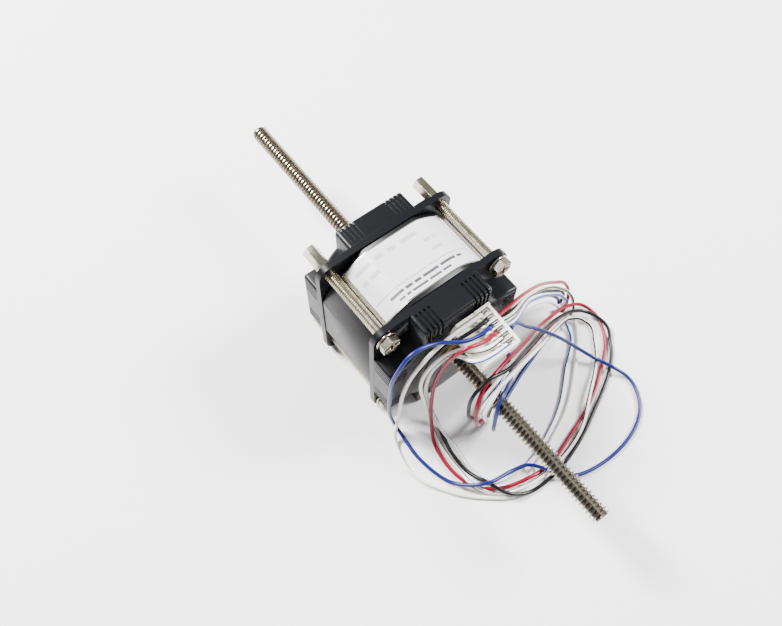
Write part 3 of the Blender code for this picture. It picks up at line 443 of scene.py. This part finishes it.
def thread_into(bm, crest, depth, pitch, half_length, centre, sides, chamfer=0.0, keyway=None):
    """A right-handed thread along Y. The keyway is (half width, floor height, end y).

    The profile gives the radius at parts of one pitch; the root faces take the second finish, a
    dark painted shade that stands in for the shade in the thread's hollows.
    """
    start = -half_length
    end = half_length
    root = crest - depth
    profile = ((0.0, crest), (0.22, crest), (0.42, root), (0.8, root))
    painted_shade_row = 2
    angles = [2.0 * math.pi * k / sides for k in range(sides)]
    if keyway:
        edge = math.asin(keyway[0] / crest)
        lip = 0.01
        clear = 0.03
        angles = [a for a in angles if edge + clear < a < 2.0 * math.pi - edge - clear]
        angles = [0.0, edge - lip, edge + lip] + angles
        angles += [2.0 * math.pi - edge - lip, 2.0 * math.pi - edge + lip]
    turns = math.ceil((end - start) / pitch) + 1
    rows = []
    for turn in range(-1, turns):
        for offset, radius in profile:
            row = []
            for angle in angles:
                y = start + (turn + offset + angle / (2.0 * math.pi)) * pitch
                y = min(max(y, start), end)
                r = min(radius, crest - chamfer + min(y - start, end - y))
                x = r * math.sin(angle)
                z = r * math.cos(angle)
                if keyway and y < keyway[2] and abs(x) < keyway[0] and z > keyway[1]:
                    z = keyway[1]
                row.append(bm.verts.new((mm(x + centre[0]), mm(y), up(z + centre[1]))))
            rows.append(row)
    step = len(profile)
    count = len(angles)
    for j in range(len(rows) - 1):
        for k in range(count - 1):
            face = bm.faces.new((rows[j][k], rows[j][k + 1], rows[j + 1][k + 1],
                                 rows[j + 1][k]))
            # The root row takes the painted shade.
            face.material_index = 1 if j % step == painted_shade_row else 0
        if j + 1 + step < len(rows):
            bm.faces.new((rows[j][-1], rows[j + step][0], rows[j + 1 + step][0],
                          rows[j + 1][-1]))
    bm.faces.new(rows[0][::-1])
    bm.faces.new(rows[-1])


def finish_thread(bm, name):
    """Welds the flattened ends and leaves one clean surface."""
    bmesh.ops.remove_doubles(bm, verts=bm.verts, dist=2.0 * SAME_POINT)
    bmesh.ops.dissolve_degenerate(bm, dist=SAME_POINT, edges=bm.edges)
    bmesh.ops.recalc_face_normals(bm, faces=bm.faces)
    mesh = bmesh_to_mesh(bm, name)
    mesh.shade_smooth()
    mesh.set_sharp_from_angle(angle=math.radians(50.0))
    return mesh


def make_lead_screw():
    bm = bmesh.new()
    keyway = (KEYWAY_HALF_WIDTH, KEYWAY_FLOOR, KEYWAY_END)
    thread_into(bm, SCREW_RADIUS, SCREW_THREAD_DEPTH, SCREW_PITCH, SCREW_HALF_LENGTH, (0.0, 0.0),
                32, SCREW_CHAMFER, keyway)
    piece = new_object("lead_screw_thread", finish_thread(bm, "lead_screw_thread"),
                       [THREAD, PAINTED_ROOT_SHADE], "screw", ["lead_screw"])


def thin_shank(bm, x, z):
    """Draws the smooth shank in, so that the thread stands round it."""
    reach = mm(2.35)
    front = mm(-16.9)
    rear = mm(16.2)
    shrink = 0.72
    axis = Vector((mm(x), 0.0, up(z)))
    for vert in bm.verts:
        away = vert.co - axis
        away.y = 0.0
        if away.length < reach and front < vert.co.y < rear:
            vert.co.x = axis.x + away.x * shrink
            vert.co.z = axis.z + away.z * shrink


def make_bolts():
    """Each bolt keeps its head, and its shank carries a thread in place of the cylinder."""
    half = BOLT_SPACING / 2.0
    for number in range(1, 5):
        node = "through_bolt_%d" % number
        low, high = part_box(node)
        x = round((low[0] + high[0]) * 500.0 / half) * half
        z = round(((low[2] + high[2]) * 500.0 - AXIS_HEIGHT) / half) * half
        bm = node_copy(node)
        thin_shank(bm, x, z)
        merge_flat_faces(bm)
        head = new_object(node + "_head", bmesh_to_mesh(bm, node + "_head"), [ZINC], "motor",
                          [node])
        round_edges(head, 0.15)
        thread = bmesh.new()
        thread_into(thread, BOLT_RADIUS, BOLT_THREAD_DEPTH, BOLT_PITCH, BOLT_THREAD_HALF_LENGTH,
                    (x, z), 24)
        new_object(node + "_thread", finish_thread(thread, node + "_thread"),
                   [ZINC, PAINTED_ROOT_SHADE])


# ---- label ----

def film_height(x, lift):
    """The barrel's top: flat in the middle and round to either side."""
    flat = BARREL_FLAT + lift
    curved = math.sqrt((BARREL_RADIUS + lift) ** 2 - x * x)
    blend = 0.5
    return (flat + curved - math.sqrt((flat - curved) ** 2 + blend ** 2)) / 2.0


def film(name, patches, lift, finish, replaced=()):
    """Thin patches on the barrel, each given as left, right, front and rear edge."""
    bm = bmesh.new()
    for left, right, front, rear in patches:
        steps = max(1, math.ceil((right - left) / 0.5))
        rows = []
        for drop in (FILM_THICKNESS, 0.0):
            for y in (front, rear):
                row = []
                for k in range(steps + 1):
                    x = left + (right - left) * k / steps
                    row.append(bm.verts.new((mm(x), mm(y), up(film_height(x, lift - drop)))))
                rows.append(row)
        low_front, low_rear, top_front, top_rear = rows
        for a, b in ((top_front, top_rear), (low_rear, low_front), (low_front, top_front),
                     (top_rear, low_rear)):
            for k in range(steps):
                bm.faces.new((a[k], a[k + 1], b[k + 1], b[k]))
        for k in (0, steps):
            bm.faces.new((low_front[k], top_front[k], top_rear[k], low_rear[k]))
    bmesh.ops.recalc_face_normals(bm, faces=bm.faces)
    mesh = bmesh_to_mesh(bm, name)
    mesh.shade_smooth()
    mesh.set_sharp_from_angle(angle=math.radians(30.0))
    piece = new_object(name, mesh, [finish], "motor", replaced)


def dashes(start, lengths, y, height, space):
    """A row of plain bars that stands for a printed line."""
    bars = []
    x = start
    for length in lengths:
        bars.append((x, x + length, y - height / 2.0, y + height / 2.0))
        x += length + space
    return bars


def make_label():
    """A foil base, a white panel, and plain bars and a rule in place of print."""
    film("label_base", [(-20.6, 21.0, -11.75, 11.75)], -0.06, FOIL, ["rating_label"])
    film("label_panel", [(-19.4, 19.6, -11.2, 11.3)], -0.03, PANEL)
    grey = dashes(-17.5, (5.5, 3.2, 3.2, 6.5), 7.6, 1.5, 2.2)
    grey += dashes(-17.5, (1.6, 3.6), 3.2, 1.5, 1.2)
    grey += dashes(7.5, (2.4, 1.2), 3.2, 1.5, 1.2)
    grey += dashes(7.5, (4.8,), -0.9, 1.4, 1.0)
    film("label_print_grey", grey, 0.0, PRINT_GREY)
    dark = [(-18.8, 18.8, -5.15, -5.0)]
    dark += dashes(-14.5, (5.2, 2.8, 2.6, 6.4, 6.2, 1.9), -7.2, 1.05, 0.9)
    dark += dashes(-12.5, (2.2, 1.6, 6.2, 4.8, 3.4), -9.4, 0.8, 0.8)
    film("label_print_dark", dark, 0.0, PRINT_DARK)


# ---- inner pieces, which keep their CAD shape ----

PLAIN = {
    "stator_core": LAMINATION, "rotor_core_front": LAMINATION, "rotor_core_rear": LAMINATION,
    "front_insulator": NYLON, "rear_insulator": NYLON, "rotor_magnet": MAGNET,
    "rotor_sleeve": STEEL, "drive_nut": BRONZE, "wave_washer": STEEL,
    "front_bearing_inner": STEEL, "rear_bearing_inner": STEEL, "front_bearing_outer": STEEL,
    "rear_bearing_outer": STEEL, "front_bearing_balls": STEEL, "rear_bearing_balls": STEEL,
    "lead_grommet": RUBBER,
}


def paint(node, finish):
    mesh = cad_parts[node].data
    mesh.materials.clear()
    mesh.materials.append(finish)


def make_plain():
    for node, finish in PLAIN.items():
        paint(node, finish)
    for number in range(1, 9):
        paint("stator_coil_%d" % number, COPPER)


# ---- end bells ----

def prism(bm, outline, low, high, put):
    """A closed prism; `put` turns (a, b, c) into a place, with c from low to high."""
    first, second = [[bm.verts.new(put(a, b, c)) for a, b in outline] for c in (low, high)]
    bm.faces.new(first)
    bm.faces.new(second)
    for k in range(len(outline)):
        j = (k + 1) % len(outline)
        bm.faces.new((first[k], first[j], second[j], second[k]))


def arc(x, y, radius, start, end, steps):
    """Points on an arc, angles in degrees."""
    angles = [math.radians(start + (end - start) * k / steps) for k in range(steps + 1)]
    return [(x + radius * math.cos(a), y + radius * math.sin(a)) for a in angles]


def circle(radius, steps, x=0.0, y=0.0):
    return arc(x, y, radius, 0.0, 360.0, steps)[:-1]


def temporary(bm, name):
    bmesh.ops.recalc_face_normals(bm, faces=bm.faces)
    obj = bpy.data.objects.new(name, bmesh_to_mesh(bm, name))
    bpy.context.scene.collection.objects.link(obj)
    return obj


def rounded_block(name, outline, low, high, put):
    """A prism with its outer end's rim rounded."""
    bm = bmesh.new()
    prism(bm, outline, low, high, put)
    bmesh.ops.recalc_face_normals(bm, faces=bm.faces)
    ends = [edge for edge in bm.edges
            if all(abs(abs(vert.co.y) - mm(high)) < 0.000001 for vert in edge.verts)]
    bmesh.ops.bevel(bm, geom=ends, offset=mm(RIM_RADIUS), segments=6, profile=0.5,
                    affect="EDGES", clamp_overlap=True)
    return temporary(bm, name)


def rib_grooves(name, put):
    """Grooves between the ribs of the four pads; they run over the rounded rim."""
    bm = bmesh.new()
    outline = [(16.7, 27.6)] + arc(22.2, 25.8, 1.8, 90.0, 0.0, 6)
    outline += [(24.0, 21.0), (26.0, 21.0), (26.0, 30.0), (16.7, 30.0)]
    for offset in RIB_OFFSETS:
        for side in (-1.0, 1.0):
            low = side * offset - GROOVE_HALF_WIDTH
            high = side * offset + GROOVE_HALF_WIDTH
            for turn in (1.0, -1.0):
                prism(bm, outline, low, high, lambda d, h, x: put(x, h * turn, d))
                prism(bm, outline, low, high, lambda d, h, x: put(h * turn, x, d))
    return temporary(bm, name)


def make_bell(node, sign):
    """Flange, two crossed bars whose ends are the pads, a round cup, and the hollow inside.

    The joined blocks start and end a little apart, so that no two faces lie in one plane.
    """
    def put(x, h, d):
        return (mm(x), mm(sign * d), up(h))

    def square(half_x, half_h, corner, steps):
        points = []
        for quarter, (sx, sh) in enumerate(((1, 1), (-1, 1), (-1, -1), (1, -1))):
            points += arc(sx * (half_x - corner), sh * (half_h - corner), corner,
                          90.0 * quarter, 90.0 * quarter + 90.0, steps)
        return points

    def drum(name, radius, low, high, steps, x=0.0, h=0.0):
        bm = bmesh.new()
        prism(bm, circle(radius, steps, x, h), low, high, put)
        return temporary(bm, name)

    bm = bmesh.new()
    prism(bm, square(FLANGE_HALF, FLANGE_HALF, FLANGE_CORNER, 8), FLANGE_INNER, FLANGE_OUTER, put)
    bell = temporary(bm, node + "_work")
    reach = 28.15
    bar_a = square(reach, BAR_HALF_WIDTH, BAR_CORNER, 3)
    bar_b = square(14.13, reach, BAR_CORNER, 3)
    joined = [rounded_block("bar_a", bar_a, 14.0, BELL_END, put),
              rounded_block("bar_b", bar_b, 14.1, 24.58, put),
              rounded_block("cup", circle(CUP_RADIUS, 64), 14.2, 24.5, put)]
    cut = [rib_grooves("grooves", put), drum("cavity", 21.5, 12.6, 22.4, 48)]
    boss = drum("boss", 13.0, 17.3, 24.1, 48)
    last = [drum("pocket", 10.8, 12.6, 22.9, 48), drum("bore", 5.8, 12.6, 25.6, 48)]
    half = BOLT_SPACING / 2.0
    for x in (-half, half):
        for h in (-half, half):
            last.append(drum("bolt_hole", 2.38, 12.6, 17.0, 24, x, h))
    # Only the front bell has the hole that the leads come out of.
    if sign < 0.0:
        bm = bmesh.new()
        outline = arc(11.2, 14.5, 2.5, -90.0, 90.0, 8) + arc(6.8, 14.5, 2.5, 90.0, 270.0, 8)
        prism(bm, outline, 20.0, 26.0, put)
        last.append(temporary(bm, "lead_hole"))
    steps = [(piece, "UNION") for piece in joined] + [(piece, "DIFFERENCE") for piece in cut]
    steps += [(boss, "UNION")] + [(piece, "DIFFERENCE") for piece in last]
    for piece, operation in steps:
        step = bell.modifiers.new(piece.name, "BOOLEAN")
        step.object = piece
        step.operation = operation
        step.solver = "EXACT"
        step.use_self = piece.name in ("bar_b", "cup")
    graph = bpy.context.evaluated_depsgraph_get()
    mesh = bpy.data.meshes.new_from_object(bell.evaluated_get(graph))
    for old in [bell] + [piece for piece, _ in steps]:
        bpy.data.objects.remove(old, do_unlink=True)
    mesh.shade_smooth()
    mesh.set_sharp_from_angle(angle=math.radians(32.0))
    piece = new_object(node + "_fine", mesh, [CASTING], "motor", [node])


def make_body():
    make_bell("front_bell", -1.0)
    make_bell("rear_bell", 1.0)
    refined("motor_shell", BARREL, 0.3)
    refined("guide_bush", BRONZE, 0.2)
    refined("screw_seal", RUBBER, 0.2)
    for number in range(1, 5):
        refined("bolt_washer_%d" % number, ZINC, 0.12)
        refined("rear_standoff_%d" % number, ZINC, 0.25)


def make_connector():
    housing = refined("connector_housing", NYLON, 0.14)
    terminals = [refined("terminal_%d" % number, TIN, 0.05) for number in range(1, 7)]
    return housing, terminals


# ---- floor and light ----

def area_light(name, place, target, power):
    data = bpy.data.lights.new(name, "AREA")
    data.shape = "DISK"
    data.size = 0.45
    data.energy = power
    light = bpy.data.objects.new(name, data)
    bpy.context.scene.collection.objects.link(light)
    light.location = place
    light.rotation_euler = (Vector(target) - Vector(place)).to_track_quat("-Z", "Y").to_euler()


def make_studio():
    """A pale floor, a faint even light, and two soft lamps from behind left and front right."""
    target = (0.0, 0.0, 0.02)
    bm = bmesh.new()
    bmesh.ops.create_grid(bm, x_segments=1, y_segments=1, size=3.0)
    floor = bpy.data.objects.new("floor", bmesh_to_mesh(bm, "floor"))
    bpy.context.scene.collection.objects.link(floor)
    floor.data.materials.append(material("floor_white", (0.9, 0.895, 0.89), 0.9))
    world = bpy.data.worlds.new("studio")
    world.use_nodes = True
    world.node_tree.nodes["Background"].inputs["Color"].default_value = (1.0, 0.99, 0.98, 1.0)
    world.node_tree.nodes["Background"].inputs["Strength"].default_value = 0.3
    bpy.context.scene.world = world
    area_light("key", (-0.35, 0.75, 0.85), target, 66.0)
    area_light("fill", (0.85, -0.3, 0.8), target, 38.0)


make_camera()
wires = make_leads()
connector, contacts = make_connector()
make_lead_screw()
make_bolts()
make_label()
make_body()
make_plain()
make_studio()
